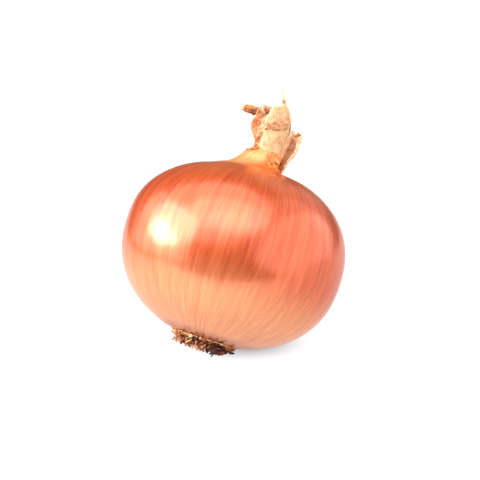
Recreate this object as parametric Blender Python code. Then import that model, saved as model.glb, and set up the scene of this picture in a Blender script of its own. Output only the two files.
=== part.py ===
"""A whole dry onion with its papery neck and its root tuft, lying tilted on a small flat spot.

Units are metres and Z is up. The origin is the middle of the flat spot that the bulb rests on.
The onion is modelled along its own axis: the bulb frame has its origin in the middle of the bulb's widest
level, +Z from the roots to the neck, +X to the right and -Y to the front. One empty then lays it down.
"""

import math

import bmesh
import bpy
import numpy as np
from mathutils import Matrix, Vector

MM = 0.001

# Bulb: a squat globe, whose two halves are superellipses of their own height and fullness.
BULB_RADIUS = 40.0 * MM
BASE_DEPTH = 33.7 * MM
BASE_FULLNESS = 2.2
SHOULDER_HEIGHT = 31.6 * MM
SHOULDER_FULLNESS = 2.3
SHOULDER_SLANT = 1.5 * MM  # the right shoulder stands this much higher than the middle, the left lower
LOBES = ((2, 0.006, 2.0), (3, 0.008, 1.9), (5, 0.004, 0.8))  # waves round the bulb, share of radius, phase
BULB_SIDES = 48

# Neck: the skin is drawn up to a cone, which ends in the rim that the dry leaves stand on.
SHOULDER_END_RADIUS = 10.5 * MM
NECK_CORNER = (8.1 * MM, 31.4 * MM)
NECK_FOOT = (7.0 * MM, 34.3 * MM)
RIM_RADIUS = 5.3 * MM
RIM_HEIGHT = 37.6 * MM
RIM_BEVEL = 0.5 * MM
RIM_SLANT = 1.0 * MM  # the rim is lower on the right
NECK_SHIFT = 1.5 * MM  # the neck's rim stands this far right of the bulb's axis
NECK_SPREAD = 0.2  # the cone's foot is wider by this share on the left, and narrower on the right

# Root end: a pocket in the bulb's base holds the basal plate, which the roots grow from.
POCKET_RADIUS = 9.6 * MM
POCKET_FLOOR = -31.9 * MM
GAP = 0.3 * MM  # between pieces that touch
PLATE_BULGE = 1.3 * MM
ROOT_COUNT = 110
ROOT_RADIUS = 0.48 * MM
ROOT_LENGTH = 4.5 * MM
ROOT_SIDES = 5
ROOT_RINGS = 4
ROOT_SEED = 11

# Rest: the axis leans to the right and back, and the bulb is flattened a little where it lies.
LEAN = math.radians(26.0)
LEAN_TOWARDS = math.radians(45.0)
FLAT_DEPTH = 0.6 * MM

LEAF_THICKNESS = 0.7 * MM
LEAF_STEPS = 12
LEAF_STRIPS = 8


def clear_scene():
    for old in list(bpy.data.objects):
        bpy.data.objects.remove(old)


def material(name, colour, roughness):
    """A plain finish: colour is linear RGB."""
    made = bpy.data.materials.new(name)
    made.use_nodes = True
    shader = made.node_tree.nodes["Principled BSDF"]
    shader.inputs["Base Color"].default_value = (*colour, 1.0)
    shader.inputs["Roughness"].default_value = roughness
    shader.inputs["Metallic"].default_value = 0.0
    return made


def new_object(name, bm, finish, parent, smooth_degrees=50.0):
    """Turns a bmesh in the bulb frame into a shaded object that is carried by the onion's axis."""
    mesh = bpy.data.meshes.new(name)
    bm.to_mesh(mesh)
    bm.free()
    mesh.materials.append(finish)
    mesh.shade_smooth()
    mesh.set_sharp_from_angle(angle=math.radians(smooth_degrees))
    made = bpy.data.objects.new(name, mesh)
    bpy.context.scene.collection.objects.link(made)
    made.parent = parent
    return made


def smoothstep(low, high, value):
    t = np.clip((value - low) / (high - low), 0.0, 1.0)
    return t * t * (3.0 - 2.0 * t)


# Rest pose


def base_outline(turn):
    """Radius and height on the lower half's outline, at turn 0 on the widest level and pi/2 on the axis."""
    power = 2.0 / BASE_FULLNESS
    return BULB_RADIUS * np.cos(turn) ** power, -BASE_DEPTH * np.sin(turn) ** power


def base_height(radius):
    """Height of the lower half's surface at a distance from the axis."""
    inside = 1.0 - np.clip(radius / BULB_RADIUS, 0.0, 1.0) ** BASE_FULLNESS
    return -BASE_DEPTH * inside ** (1.0 / BASE_FULLNESS)


def lying_matrix():
    """Carries the bulb frame to where the onion lies: leaning, with its lowest point cut off by FLAT_DEPTH."""
    radius, height = base_outline(np.linspace(0.0, math.pi / 2, 2001))
    drop = radius * math.sin(LEAN) - height * math.cos(LEAN)
    lowest = int(np.argmax(drop))
    reach = radius[lowest] * math.cos(LEAN) + height[lowest] * math.sin(LEAN)
    towards = Vector((math.cos(LEAN_TOWARDS), math.sin(LEAN_TOWARDS), 0.0))
    middle = -towards * reach + Vector((0.0, 0.0, drop[lowest] - FLAT_DEPTH))
    hinge = Vector((-towards.y, towards.x, 0.0))
    return Matrix.Translation(middle) @ Matrix.Rotation(LEAN, 4, hinge)


def onion_axis(lying):
    """The empty that lays every piece of the onion down."""
    axis = bpy.data.objects.new("onion_axis", None)
    bpy.context.scene.collection.objects.link(axis)
    axis.matrix_world = lying
    return axis


# Bulb


def bulb_outline(swell=0.0):
    """The outline from the pocket's middle round to the rim's middle, as radius and height. Swell moves it out."""
    points = [(0.0, POCKET_FLOOR - swell), (POCKET_RADIUS * 0.55, POCKET_FLOOR - swell)]
    points.append((POCKET_RADIUS, POCKET_FLOOR - swell))
    lip = POCKET_RADIUS + 0.4 * MM
    start = math.acos((lip / BULB_RADIUS) ** (BASE_FULLNESS / 2.0))
    for turn in np.linspace(start, 0.0, 15):
        radius, height = base_outline(turn)
        points.append((radius + swell * math.cos(turn), height - swell * math.sin(turn)))
    power = 2.0 / SHOULDER_FULLNESS
    end = math.acos((SHOULDER_END_RADIUS / BULB_RADIUS) ** (1.0 / power))
    for turn in np.linspace(0.0, end, 14)[1:]:
        radius = BULB_RADIUS * math.cos(turn) ** power
        height = SHOULDER_HEIGHT * math.sin(turn) ** power
        points.append((radius + swell * math.cos(turn), height + swell * math.sin(turn)))
    first = Vector(points[-1])
    corner = Vector(NECK_CORNER) + Vector((swell, swell))
    foot = Vector(NECK_FOOT) + Vector((swell, 0.0))
    for share in (0.3, 0.55, 0.8, 1.0):
        on_curve = first * (1 - share) ** 2 + corner * 2 * share * (1 - share) + foot * share**2
        points.append(tuple(on_curve))
    top = RIM_HEIGHT + swell
    points.append((RIM_RADIUS + swell + 0.1 * MM, top - RIM_BEVEL))
    points.append((RIM_RADIUS + swell - RIM_BEVEL, top))
    points.append((0.0, top))
    return points


def grown(point):
    """How the grown onion departs from a turned shape: slanted shoulders, shifted neck, shallow lobes."""
    x, y, z = point
    radius = math.hypot(x, y)
    around = math.atan2(y, x)
    lobes = sum(share * math.cos(count * around + phase) for count, share, phase in LOBES)
    swelling = 1.0 + lobes * float(smoothstep(5 * MM, 25 * MM, radius))
    x, y = x * swelling, y * swelling
    on_cone = float(smoothstep(29 * MM, 32 * MM, z) * (1.0 - smoothstep(35 * MM, 38 * MM, z)))
    spread = 1.0 - NECK_SPREAD * math.cos(around) * on_cone
    x, y = x * spread, y * spread
    above = float(smoothstep(0.0, 24 * MM, z))
    on_neck = float(smoothstep(30 * MM, 39 * MM, z))
    outwards = float(smoothstep(2 * MM, 20 * MM, radius)) * (1.0 - on_neck)
    z += SHOULDER_SLANT * math.cos(around) * above * outwards
    z -= RIM_SLANT * (x / RIM_RADIUS) * on_neck
    x += NECK_SHIFT * on_neck * min(1.0, (z - 30 * MM) / (RIM_HEIGHT - 30 * MM)) if on_neck > 0 else 0.0
    return Vector((x, y, z))


def turned(outline, sides):
    """Spins an outline of radius and height about the axis into one closed bmesh."""
    bm = bmesh.new()
    verts = [bm.verts.new((radius, 0.0, height)) for radius, height in outline]
    edges = [bm.edges.new(pair) for pair in zip(verts, verts[1:])]
    bmesh.ops.spin(
        bm,
        geom=verts + edges,
        cent=(0.0, 0.0, 0.0),
        axis=(0.0, 0.0, 1.0),
        angle=2 * math.pi,
        steps=sides,
        use_merge=True,
    )
    bmesh.ops.remove_doubles(bm, verts=bm.verts, dist=0.001 * MM)
    bmesh.ops.recalc_face_normals(bm, faces=bm.faces)
    return bm


def bulb_shape(swell=0.0):
    bm = turned(bulb_outline(swell), BULB_SIDES)
    for vert in bm.verts:
        vert.co = grown(vert.co)
    return bm


def flatten_underside(bm, lying):
    """Cuts off what would reach below the surface, which leaves the small flat spot."""
    to_bulb = lying.inverted()
    level = to_bulb @ Vector((0.0, 0.0, 0.0))
    upwards = to_bulb.to_3x3() @ Vector((0.0, 0.0, 1.0))
    everything = bm.verts[:] + bm.edges[:] + bm.faces[:]
    cut = bmesh.ops.bisect_plane(bm, geom=everything, plane_co=level, plane_no=upwards, clear_inner=True)
    rim = [item for item in cut["geom_cut"] if isinstance(item, bmesh.types.BMEdge)]
    bmesh.ops.edgeloop_fill(bm, edges=rim)
    bmesh.ops.recalc_face_normals(bm, faces=bm.faces)


def make_bulb(axis, lying):
    skin = material("copper_skin", (0.72, 0.24, 0.09), 0.32)
    bm = bulb_shape()
    flatten_underside(bm, lying)
    return new_object("bulb", bm, skin, axis)


# Root tuft


def room_at(point, radius, lying):
    """Moves a root's point clear of the bulb and of the surface, or returns None where it can't be."""
    outwards = math.hypot(point.x, point.y)
    highest = float(base_height(outwards)) - GAP - 1.25 * radius
    moved = point.copy()
    if outwards > POCKET_RADIUS - GAP - radius:
        moved.z = min(moved.z, highest)
    placed = lying @ moved
    placed.z = max(placed.z, 1.02 * radius)
    moved = lying.inverted() @ placed
    outwards = math.hypot(moved.x, moved.y)
    highest = float(base_height(outwards)) - GAP - 1.05 * radius
    if outwards > POCKET_RADIUS - GAP - radius and moved.z > highest:
        return None
    return moved


def root_path(index, draw, lying):
    """One root's centre line: from inside the plate, down and outwards, with a curl of its own."""
    spread = math.sqrt((index + 0.5) / ROOT_COUNT)
    around = index * math.pi * (3.0 - math.sqrt(5.0)) + draw.uniform(-0.2, 0.2)
    outwards = Vector((math.cos(around), math.sin(around), 0.0))
    sideways = Vector((-outwards.y, outwards.x, 0.0))
    start = outwards * spread * (POCKET_RADIUS - 1.6 * MM) + Vector((0.0, 0.0, POCKET_FLOOR - 1.0 * MM))
    splay = math.radians(8.0 + 62.0 * spread**2)
    leftwards = 0.5 - 0.5 * outwards.x
    length = ROOT_LENGTH * (0.72 + 0.35 * leftwards) * draw.uniform(0.75, 1.2)
    curl = draw.uniform(-0.9, 0.9)
    lift = draw.uniform(-0.25, 0.25)
    points = [start]
    for step in range(1, ROOT_RINGS):
        share = step / (ROOT_RINGS - 1)
        reach = 0.9 * MM + length * share
        angle = splay + lift * share
        ahead = outwards * math.sin(angle) - Vector((0.0, 0.0, math.cos(angle)))
        bend = sideways * math.sin(curl * share) * reach * 0.55
        point = room_at(start + ahead * reach + bend, ROOT_RADIUS, lying)
        if point is None or (point - points[-1]).length < 0.6 * MM:
            break
        points.append(point)
    return points


def root_shape(points, phase):
    """A closed tube of few sides round a root's centre line, narrowing to its end."""
    bm = bmesh.new()
    rings = []
    for step, point in enumerate(points):
        before = points[max(step - 1, 0)]
        after = points[min(step + 1, len(points) - 1)]
        along = (after - before).normalized()
        side = along.cross(Vector((0.31, 0.87, 0.39))).normalized()
        other = along.cross(side)
        radius = ROOT_RADIUS * (1.0 - 0.35 * step / (ROOT_RINGS - 1))
        ring = []
        for corner in range(ROOT_SIDES):
            turn = phase + 2 * math.pi * corner / ROOT_SIDES
            offset = side * math.cos(turn) + other * math.sin(turn)
            ring.append(bm.verts.new(point + offset * radius))
        rings.append(ring)
    for low, high in zip(rings, rings[1:]):
        for corner in range(ROOT_SIDES):
            after = (corner + 1) % ROOT_SIDES
            bm.faces.new((low[corner], low[after], high[after], high[corner]))
    bm.faces.new(rings[0])
    bm.faces.new(rings[-1])
    bmesh.ops.recalc_face_normals(bm, faces=bm.faces)
    return bm


def plate_outline():
    """The basal plate fills the pocket and bulges below it, as radius and height from its top down."""
    top = POCKET_FLOOR - GAP
    rim = POCKET_RADIUS - GAP
    points = [(0.0, top), (rim - 0.3 * MM, top), (rim, top - 0.3 * MM)]
    for turn in np.linspace(0.0, math.pi / 2, 5):
        edge = top - 1.0 * MM
        points.append((rim * math.cos(turn), edge - PLATE_BULGE * math.sin(turn)))
    return points


def make_root_tuft(axis, lying):
    """The basal plate with every root fused to it by one Boolean union."""
    brown = material("root_brown", (0.16, 0.08, 0.035), 0.85)
    draw = np.random.default_rng(ROOT_SEED)
    roots = bpy.data.collections.new("roots")
    bpy.context.scene.collection.children.link(roots)
    for index in range(ROOT_COUNT):
        points = root_path(index, draw, lying)
        phase = draw.uniform(0.0, 2 * math.pi)
        if len(points) < 3:
            continue
        mesh = bpy.data.meshes.new("root")
        bm = root_shape(points, phase)
        bm.to_mesh(mesh)
        bm.free()
        roots.objects.link(bpy.data.objects.new("root", mesh))
    tuft = new_object("root_tuft", turned(plate_outline(), 32), brown, None)
    union = tuft.modifiers.new("join_roots", "BOOLEAN")
    union.operation = "UNION"
    union.operand_type = "COLLECTION"
    union.collection = roots
    union.solver = "MANIFOLD"
    bpy.context.view_layer.update()
    joined = bpy.data.meshes.new_from_object(tuft.evaluated_get(bpy.context.evaluated_depsgraph_get()))
    tuft.modifiers.clear()
    tuft.data = joined
    for root in list(roots.objects):
        bpy.data.objects.remove(root)
    bpy.data.collections.remove(roots)
    tuft.parent = axis
    return tuft


# Dry neck. Each row of a leaf is a point on its middle line: x, y, z in millimetres, half its width across
# the curve in millimetres, the half angle that it is cupped by, and the way its outer face looks, as an azimuth
# from +X towards +Y and an elevation. Angles are in degrees. Rows start inside the rim, which trims them.

FRONT_LEAF = (
    (1.7, -5.0, 35.0, 5.2, 60, 270, 0),
    (1.9, -5.1, 39.5, 4.8, 56, 270, 0),
    (2.1, -5.0, 43.2, 4.5, 54, 270, 2),
    (2.0, -4.6, 46.0, 4.3, 52, 270, 12),
    (1.4, -5.9, 48.6, 5.5, 58, 268, 6),
    (0.9, -5.6, 51.6, 4.9, 52, 266, 20),
    (-0.3, -4.2, 54.6, 2.6, 35, 262, 45),
)
LEFT_LEAF = (
    (-3.7, -0.1, 35.0, 1.7, 25, 182, 0),
    (-4.2, -0.3, 39.5, 2.0, 30, 190, -5),
    (-5.9, -1.2, 42.6, 2.8, 48, 204, -14),
    (-7.8, -1.9, 45.8, 3.3, 64, 213, -4),
    (-8.0, -2.1, 48.6, 3.2, 64, 217, 10),
    (-7.6, -2.0, 50.9, 2.1, 42, 217, 28),
)
BEAK_LEAF = (
    (-1.4, 4.2, 35.0, 2.0, 25, 121, 0),
    (-1.6, 4.2, 41.0, 2.4, 28, 121, 0),
    (-2.2, 3.8, 46.5, 2.7, 32, 118, 5),
    (-4.0, 3.2, 50.0, 2.5, 40, 110, 12),
    (-6.8, 2.4, 51.6, 2.3, 52, 100, 20),
    (-9.4, 1.5, 50.8, 2.3, 62, 95, 25),
    (-12.0, 0.7, 50.0, 1.3, 55, 95, 25),
    (-14.3, 0.3, 49.2, 0.5, 15, 95, 25),
)
BACK_LEAF = (
    (4.2, 3.9, 35.0, 2.2, 26, 52, 0),
    (4.5, 4.1, 41.0, 2.8, 34, 50, 0),
    (4.9, 3.2, 47.0, 3.4, 44, 42, 4),
    (3.6, 2.5, 52.0, 3.0, 42, 44, 16),
    (1.4, 1.9, 55.8, 1.5, 24, 60, 20),
    (0.1, 1.4, 58.6, 0.7, 8, 70, 10),
    (-1.1, 1.0, 61.9, 0.42, 4, 70, 10),
)
RIGHT_LEAF = (
    (7.6, 0.6, 32.0, 2.4, 40, 35, 0),
    (8.4, 0.6, 36.2, 2.8, 58, 36, -10),
    (9.4, 0.5, 39.8, 3.0, 72, 38, -10),
    (10.2, 0.4, 43.2, 3.1, 78, 40, -6),
    (10.6, 0.3, 46.0, 2.8, 74, 40, 6),
    (10.4, 0.1, 48.0, 1.8, 55, 40, 20),
)


def along_rows(rows, count):
    """The rows' values on a smooth curve through them (Catmull-Rom), at count even steps."""
    values = np.array(rows, float)
    padded = np.vstack([2 * values[0] - values[1], values, 2 * values[-1] - values[-2]])
    made = []
    for place in np.linspace(0.0, len(values) - 1.0, count):
        first = min(int(place), len(values) - 2)
        t = place - first
        a, b, c, d = padded[first : first + 4]
        bend = 2 * a - 5 * b + 4 * c - d
        made.append(0.5 * (2 * b + (c - a) * t + bend * t**2 + (3 * b - a - 3 * c + d) * t**3))
    return np.array(made)


def facing(azimuth, elevation):
    azimuth, elevation = np.radians(azimuth), np.radians(elevation)
    level = np.cos(elevation)
    return np.stack([np.cos(azimuth) * level, np.sin(azimuth) * level, np.sin(elevation)], axis=-1)


def leaf_points(rows, steps, strips, wave):
    """A cupped sheet: each cross-section is an arc about the middle line, bent away from the outer face.
    Its edges wave out of the sheet, by wave millimetres at most. Returns a grid of points in metres."""
    values = along_rows(rows, steps + 1)
    middle, half, cup = values[:, :3], values[:, 3], np.radians(values[:, 4])
    outer = along_rows([facing(row[5], row[6]) for row in rows], steps + 1)
    tangent = np.gradient(middle, axis=0)
    tangent /= np.linalg.norm(tangent, axis=1)[:, None]
    outer -= (outer * tangent).sum(1)[:, None] * tangent
    outer /= np.linalg.norm(outer, axis=1)[:, None]
    across = np.cross(tangent, outer)
    side = np.linspace(-1.0, 1.0, strips + 1)[None, :]
    bend = half / cup
    turn = side * cup[:, None]
    sheet = middle[:, None] + across[:, None] * (np.sin(turn) * bend[:, None])[..., None]
    sheet += outer[:, None] * ((np.cos(turn) - 1.0) * bend[:, None])[..., None]
    share = np.linspace(0.0, 1.0, steps + 1)[:, None]
    ripple = wave * side**2 * smoothstep(0.3, 0.7, share) * np.sin(9.0 * share + 2.0 * side)
    return (sheet + outer[:, None] * ripple[..., None]) * MM


def leaf_shape(rows, wave=0.3):
    """The leaf's sheet as triangles, so that both faces of the solid leaf are split alike."""
    points = leaf_points(rows, LEAF_STEPS, LEAF_STRIPS, wave)
    bm = bmesh.new()
    grid = [[bm.verts.new(point) for point in row] for row in points]
    for low, high in zip(grid, grid[1:]):
        for strip in range(LEAF_STRIPS):
            bm.faces.new((low[strip], low[strip + 1], high[strip + 1], high[strip]))
    bmesh.ops.triangulate(bm, faces=bm.faces)
    return bm


def make_leaf(name, rows, finish, axis, rim_cutter):
    """One dry leaf: its sheet given a thickness, then trimmed to stand on the neck's rim."""
    leaf = new_object(name, leaf_shape(rows), finish, axis)
    solid = leaf.modifiers.new("thickness", "SOLIDIFY")
    solid.thickness = LEAF_THICKNESS
    solid.offset = 0.0
    trim = leaf.modifiers.new("trim_to_rim", "BOOLEAN")
    trim.operation = "DIFFERENCE"
    trim.object = rim_cutter
    return leaf


# Inner leaves: collapsed round each other into one stalk, folded lengthwise and twisted.
STALK_OUTLINE = (
    (0.0, 38.0),
    (3.2, 38.0),
    (3.4, 41.0),
    (3.0, 45.0),
    (2.7, 48.5),
    (1.9, 51.0),
    (0.8, 52.2),
    (0.0, 52.4),
)
STALK_FOLDS = 5
STALK_FOLD_DEPTH = 0.14
STALK_TWIST = math.radians(35.0)
STALK_SIDES = 24


def make_stalk(axis, finish, rim_cutter):
    bm = turned([(radius * MM, height * MM) for radius, height in STALK_OUTLINE], STALK_SIDES)
    for vert in bm.verts:
        x, y, z = vert.co
        around = math.atan2(y, x)
        twist = STALK_TWIST * (z / MM - 38.0) / 14.0
        folded = 1.0 + STALK_FOLD_DEPTH * math.cos(STALK_FOLDS * (around + twist))
        vert.co = Vector((x * folded + 1.4 * MM, y * folded, z))
    stalk = new_object("inner_leaves", bm, finish, axis)
    trim = stalk.modifiers.new("trim_to_rim", "BOOLEAN")
    trim.operation = "DIFFERENCE"
    trim.object = rim_cutter
    return stalk


def make_rim_cutter(axis):
    """The bulb's outside, one gap larger: it trims what stands on the neck."""
    cutter = new_object("rim_cutter", bulb_shape(GAP), material("cutter", (0.5, 0.5, 0.5), 0.5), axis)
    cutter.hide_render = True
    cutter.display_type = "WIRE"
    return cutter


def main():
    clear_scene()
    lying = lying_matrix()
    axis = onion_axis(lying)
    make_bulb(axis, lying)
    make_root_tuft(axis, lying)
    cutter = make_rim_cutter(axis)
    straw = material("pale_straw", (0.76, 0.50, 0.29), 0.75)
    russet = material("russet_leaf", (0.62, 0.30, 0.15), 0.7)
    make_leaf("front_leaf", FRONT_LEAF, straw, axis, cutter)
    make_leaf("left_leaf", LEFT_LEAF, russet, axis, cutter)
    make_leaf("beak_leaf", BEAK_LEAF, russet, axis, cutter)
    make_leaf("back_leaf", BACK_LEAF, straw, axis, cutter)
    make_leaf("right_leaf", RIGHT_LEAF, russet, axis, cutter)
    make_stalk(axis, straw, cutter)


main()
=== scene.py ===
import math

import bpy
import numpy as np
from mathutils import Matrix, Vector


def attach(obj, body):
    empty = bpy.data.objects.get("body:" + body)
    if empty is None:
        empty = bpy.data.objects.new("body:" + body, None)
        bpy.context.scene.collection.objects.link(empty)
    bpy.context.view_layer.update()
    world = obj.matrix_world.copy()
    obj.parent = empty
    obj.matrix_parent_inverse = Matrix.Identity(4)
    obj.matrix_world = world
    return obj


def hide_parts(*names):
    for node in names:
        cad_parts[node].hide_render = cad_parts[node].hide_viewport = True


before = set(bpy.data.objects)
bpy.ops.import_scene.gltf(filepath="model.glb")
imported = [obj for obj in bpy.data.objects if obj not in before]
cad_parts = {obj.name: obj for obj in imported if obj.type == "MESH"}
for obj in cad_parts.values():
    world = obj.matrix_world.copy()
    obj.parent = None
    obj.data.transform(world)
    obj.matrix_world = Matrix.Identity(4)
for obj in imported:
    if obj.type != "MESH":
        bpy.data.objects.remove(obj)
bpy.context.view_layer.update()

# How the onion lies
# It rests on the lower side of its bulb, with the roots to the front left and the neck to the back
# right. Every piece is shaped upright about the axis from roots to neck, in metres from the middle
# of the widest level, and then laid down.

MM = 0.001
BULB_RADIUS = 40.0 * MM
BASE_DEPTH = 33.7 * MM
BASE_FULLNESS = 2.2  # the power of the superellipse; at 2 it would be an ellipse
LEAN = math.radians(26.0)
LEAN_TOWARDS = math.radians(45.0)
FLAT_DEPTH = 0.6 * MM  # how much the flat spot takes off the bulb


def smoothstep(low, high, value):
    """An S-shaped rise from 0 at low to 1 at high: 3 t^2 - 2 t^3."""
    t = np.clip((value - low) / (high - low), 0.0, 1.0)
    return t * t * (3.0 - 2.0 * t)


def base_outline(turn):
    """The lower half's outline, a superellipse: radius and height, from turn 0 on the widest level
    to pi/2 on the axis."""
    power = 2.0 / BASE_FULLNESS
    return BULB_RADIUS * np.cos(turn) ** power, -BASE_DEPTH * np.sin(turn) ** power


def base_height(radius):
    """The height of the lower half's surface at a distance from the axis, on that superellipse."""
    inside = 1.0 - np.clip(radius / BULB_RADIUS, 0.0, 1.0) ** BASE_FULLNESS
    return -BASE_DEPTH * inside ** (1.0 / BASE_FULLNESS)


def lie_down(points):
    """Turns upright points by the lean, about the level line across it, and sets the bulb's lowest
    level, less the flat spot's depth, on the surface with the flat spot in the middle."""
    radius, height = base_outline(np.linspace(0.0, math.pi / 2, 2001))
    drop = radius * math.sin(LEAN) - height * math.cos(LEAN)
    lowest = int(np.argmax(drop))
    reach = radius[lowest] * math.cos(LEAN) + height[lowest] * math.sin(LEAN)
    towards = np.array([math.cos(LEAN_TOWARDS), math.sin(LEAN_TOWARDS), 0.0])
    hinge = np.array([-towards[1], towards[0], 0.0])
    turned = points * math.cos(LEAN) + np.cross(hinge, points) * math.sin(LEAN)
    turned += (points @ hinge)[..., None] * hinge * (1.0 - math.cos(LEAN))
    return turned - towards * reach + np.array([0.0, 0.0, drop[lowest] - FLAT_DEPTH])


# The bulb's skin
# The outermost leaf base, dried to one thin glossy copper skin round the bulb. It grew closed from
# the root plate up over the shoulder, is drawn up into the golden cone of the neck, and ends there
# in a torn rim.

SHOULDER_HEIGHT = 31.6 * MM
SHOULDER_FULLNESS = 2.3
SHOULDER_SLANT = 1.5 * MM
SHOULDER_END_RADIUS = 11.5 * MM
NECK_CORNER = (8.3 * MM, 31.5 * MM)
NECK_FOOT = (7.0 * MM, 34.3 * MM)
RIM_RADIUS = 5.5 * MM
RIM_HEIGHT = 37.6 * MM
RIM_SLANT = 1.0 * MM
RIM_TEAR = 0.9 * MM
RIM_FOLD = 4.0 * MM  # how far the skin goes down inside the rim
SKIN_THICKNESS = 0.25 * MM
NECK_SHIFT = 1.5 * MM
NECK_SPREAD = 0.2
LOBES = ((2, 0.006, 2.0), (3, 0.008, 1.9), (5, 0.004, 0.8))  # how many, how deep, and the phase
POCKET_RADIUS = 9.6 * MM
POCKET_FLOOR = -31.9 * MM
POCKET_LIP = 0.9 * MM
POCKET_EDGE = 0.4 * MM
POCKET_ROWS = 4
SKIN_COLUMNS = 500

# The relief of the skin. A dent has a width in bulb radii, a seed and a depth.
DENTS = ((0.9, 3, 0.14 * MM), (0.28, 4, 0.025 * MM))
SKIN_VEINS = 27  # pairs of veins round the bulb
RIB_DEPTH = 0.012 * MM
CONE_FOLD_DEPTH = 0.09 * MM
PUCKER_DEPTH = 0.12 * MM

DEEP_COPPER = (0.41, 0.044, 0.011)
BRIGHT_COPPER = (0.60, 0.118, 0.034)
SHOULDER_RED = (0.60, 0.160, 0.036)
CONE_ORANGE = (0.70, 0.175, 0.038)
CONE_GOLD = (0.86, 0.295, 0.115)
# Lighter tan of the lower half: partly the skin's own paler base, partly painted reflection of the
# floor.
TAN_AND_PAINTED_FLOOR_LIGHT = (0.80, 0.34, 0.155)
# Darker brown round the root plate: partly the skin's own colour, partly painted shade.
ROOT_TAN_AND_SHADE = (0.42, 0.11, 0.035)
VEIN_BROWN = (0.36, 0.05, 0.016)
SKIN_SHADES = ((0.74, 0.70, 0.66), (1.12, 1.14, 1.16))
SHEEN_COPPER = (0.92, 0.52, 0.38)

# Where each colour and the veins come in: from and to, along the skin in bulb radii upwards from
# the widest level.
SHOULDER_FROM = (0.50, 1.0)
CONE_FROM = (0.99, 1.17)
DULL_FROM = (1.06, 1.18)
GOLD_FROM = (1.20, 1.36)
TAN_AND_FLOOR_LIGHT_FROM = (-0.07, -0.65)
ROOT_SHADE_FROM = (-0.93, -1.08)
VEINS_FROM = (-0.3, 0.5)

# Features of each noise per bulb radius, twice across the skin and once along it.
HAIRLINES = (110.0, 110.0, 5.0)
FINE_STREAKS = (58.0, 58.0, 4.0)
SOFT_STREAKS = (24.0, 24.0, 1.8)
BROAD_STREAKS = (9.0, 9.0, 1.6)
VEIN_STRETCHES = (9.0, 9.0, 0.6)
VEIN_WANDER = (3.0, 3.0, 0.8)
SKIN_PATCHES = (2.1, 2.1, 1.7)


def unevenness(points, size, seed):
    """A smooth random field of about -1 to 1 over the points: the sum of twelve sine waves of
    about that wavelength, each with its own direction, length and phase, over the square root of
    twelve."""
    draw = np.random.default_rng(seed)
    way = draw.normal(size=(12, 3))
    way /= np.linalg.norm(way, axis=1)[:, None]
    way /= size * draw.uniform(0.7, 1.5, 12)[:, None]
    phase = draw.uniform(0.0, 2 * math.pi, 12)
    return np.sin(2 * math.pi * points @ way.T + phase).sum(-1) / math.sqrt(12)


def surface_normals(grid, wrap):
    """Unit normals of a grid of points: the cross product of its steps along the columns and
    along the rows."""
    down = np.gradient(grid, axis=-3)
    if wrap:
        across = (np.roll(grid, -1, axis=-2) - np.roll(grid, 1, axis=-2)) / 2
    else:
        across = np.gradient(grid, axis=-2)
    normals = np.cross(across, down)
    return normals / np.maximum(np.linalg.norm(normals, axis=-1), 1e-12)[..., None]


def grid_faces(rows, columns):
    """Four corners for each cell of a grid of numbered points whose last column joins its first."""
    number = np.arange(rows * columns).reshape(rows, columns)
    after = np.roll(number, -1, axis=1)
    corners = number[:-1], after[:-1], after[1:], number[1:]
    return np.stack([corner.ravel() for corner in corners], axis=1)


def end_fans(rows, columns):
    """Three corners for each part of the fans that close the first and the last row of such a
    grid, round the two points that are numbered next after the grid's own."""
    first = np.arange(columns)
    after = np.roll(first, -1)
    last = (rows - 1) * columns
    low = np.stack([0 * first + rows * columns, after, first], axis=1)
    high = np.stack([0 * first + rows * columns + 1, last + first, last + after], axis=1)
    return np.vstack([low, high])


def add_piece(name, points, blocks, finish, fields):
    """Makes the piece's mesh and object from points, blocks of corners, a material and named
    values per point, and makes it ride on the onion. Where the enclosed volume, by the divergence
    theorem, is negative, it turns the faces."""
    corners = np.vstack([np.column_stack([block, block[:, -1]])[:, :4] for block in blocks])
    first, second, third, fourth = (points[corners[:, corner]] for corner in range(4))
    volume = (first * np.cross(second, third)).sum() + (first * np.cross(third, fourth)).sum()
    turn = -1 if volume < 0 else 1
    faces = [face for block in blocks for face in block[:, ::turn].tolist()]
    mesh = bpy.data.meshes.new(name)
    mesh.from_pydata(points.tolist(), [], faces)
    for field, values in fields.items():
        single = values.ndim == 1
        layer = mesh.attributes.new(field, "FLOAT" if single else "FLOAT_VECTOR", "POINT")
        layer.data.foreach_set("value" if single else "vector", values.ravel())
    mesh.materials.append(finish)
    mesh.shade_smooth()
    piece = bpy.data.objects.new(name, mesh)
    bpy.context.scene.collection.objects.link(piece)
    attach(piece, "root")
    return piece


def closed_piece(name, grid, finish, fields):
    """The piece of a grid whose columns run round, closed by fans from the middles of its first and
    last row."""
    points = np.vstack([grid.reshape(-1, 3), grid[0].mean(0), grid[-1].mean(0)])
    blocks = [grid_faces(*grid.shape[:2]), end_fans(*grid.shape[:2])]
    return add_piece(name, points, blocks, finish, fields)


class Amount:
    """A shader socket that Python's operators work on: each operator adds the Math node that does
    the same."""

    def __init__(self, finish, socket):
        self.finish = finish
        self.socket = socket

    def math(self, operation, *others):
        sockets = dict(enumerate((self, *others)))
        return self.finish.node("ShaderNodeMath", {"operation": operation}, sockets)

    def __add__(self, other):
        return self.math("ADD", other)

    __radd__ = __add__

    def __mul__(self, other):
        return self.math("MULTIPLY", other)

    __rmul__ = __mul__

    def __sub__(self, other):
        return self.math("SUBTRACT", other)

    def __rsub__(self, other):
        return self * -1.0 + other

    def __abs__(self):
        return self.math("ABSOLUTE")

    def rise(self, low, high):
        """0 below low, 1 above high and an S-shaped rise between; it falls where low is above
        high."""
        ends = {"From Min": low, "From Max": high, "To Min": 0.0, "To Max": 1.0}
        if low > high:
            ends = {"From Min": high, "From Max": low, "To Min": 1.0, "To Max": 0.0}
        settings = {"interpolation_type": "SMOOTHSTEP"}
        return self.finish.node("ShaderNodeMapRange", settings, {"Value": self, **ends})


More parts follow.
